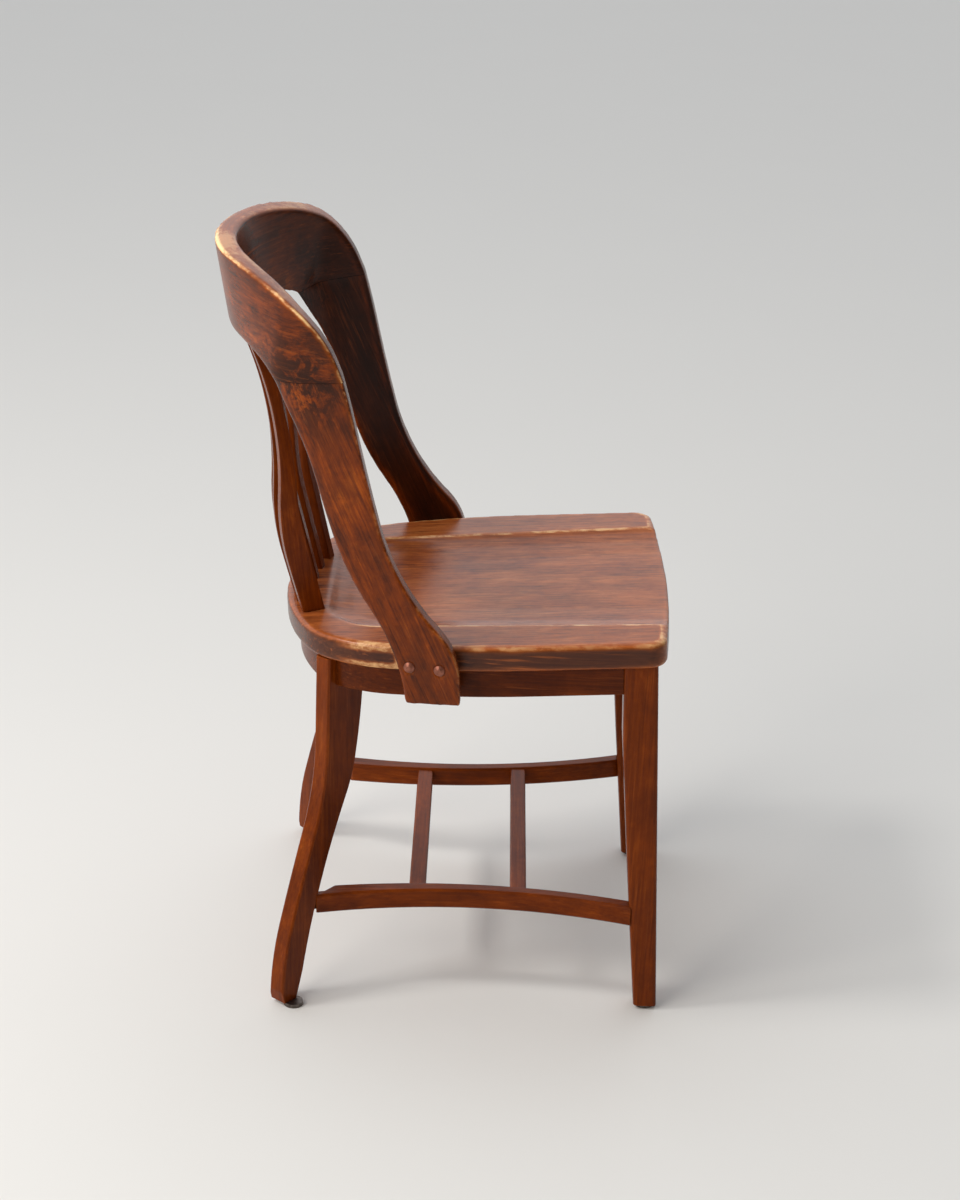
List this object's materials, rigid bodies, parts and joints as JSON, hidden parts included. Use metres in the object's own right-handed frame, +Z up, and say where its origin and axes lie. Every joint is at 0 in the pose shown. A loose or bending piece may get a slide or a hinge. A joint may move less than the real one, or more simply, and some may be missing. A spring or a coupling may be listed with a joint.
{
  "type": "banker's side chair",
  "caption": "Fixed wooden office chair with a saddled seat, a bowed crest rail running down into curved arms, sawn back slats and square legs tied by bowed stretchers.",
  "frame": {"origin": "on the floor, under the middle of the whole chair", "axes": "+Z up, the sitter faces -Y, +X to the sitter's left hand when seen from the front"},
  "size_m": [0.458, 0.5342, 0.8585],
  "materials": {
    "seat_wood": "gloss",
    "frame_wood": "gloss",
    "bow_wood": "gloss",
    "slat_wood": "gloss",
    "raw_wood": "matte",
    "bronzed_steel": "satin",
    "glide_steel": "satin"
  },
  "bodies": {
    "root": {"seat_board_1": "seat_wood", "seat_board_2": "seat_wood", "seat_board_3": "seat_wood", "seat_board_4": "seat_wood", "seat_board_5": "seat_wood", "apron_front": "frame_wood", "apron_left": "frame_wood", "apron_right": "frame_wood", "apron_rear": "frame_wood", "leg_front_left": "frame_wood", "leg_front_right": "frame_wood", "leg_rear_left": "frame_wood", "leg_rear_right": "frame_wood", "side_stretcher_left": "frame_wood", "side_stretcher_right": "frame_wood", "cross_stretcher_front": "frame_wood", "cross_stretcher_rear": "frame_wood", "crest_rail": "bow_wood", "arm_left": "bow_wood", "arm_right": "bow_wood", "slat_1": "slat_wood", "slat_2": "slat_wood", "slat_3": "slat_wood", "slat_4": "slat_wood", "slat_5": "slat_wood", "slat_6": "slat_wood", "corner_blocks": "raw_wood", "joint_dowels": "raw_wood", "arm_bolts": "bronzed_steel", "foot_glides": "glide_steel"}
  },
  "joints": []
}
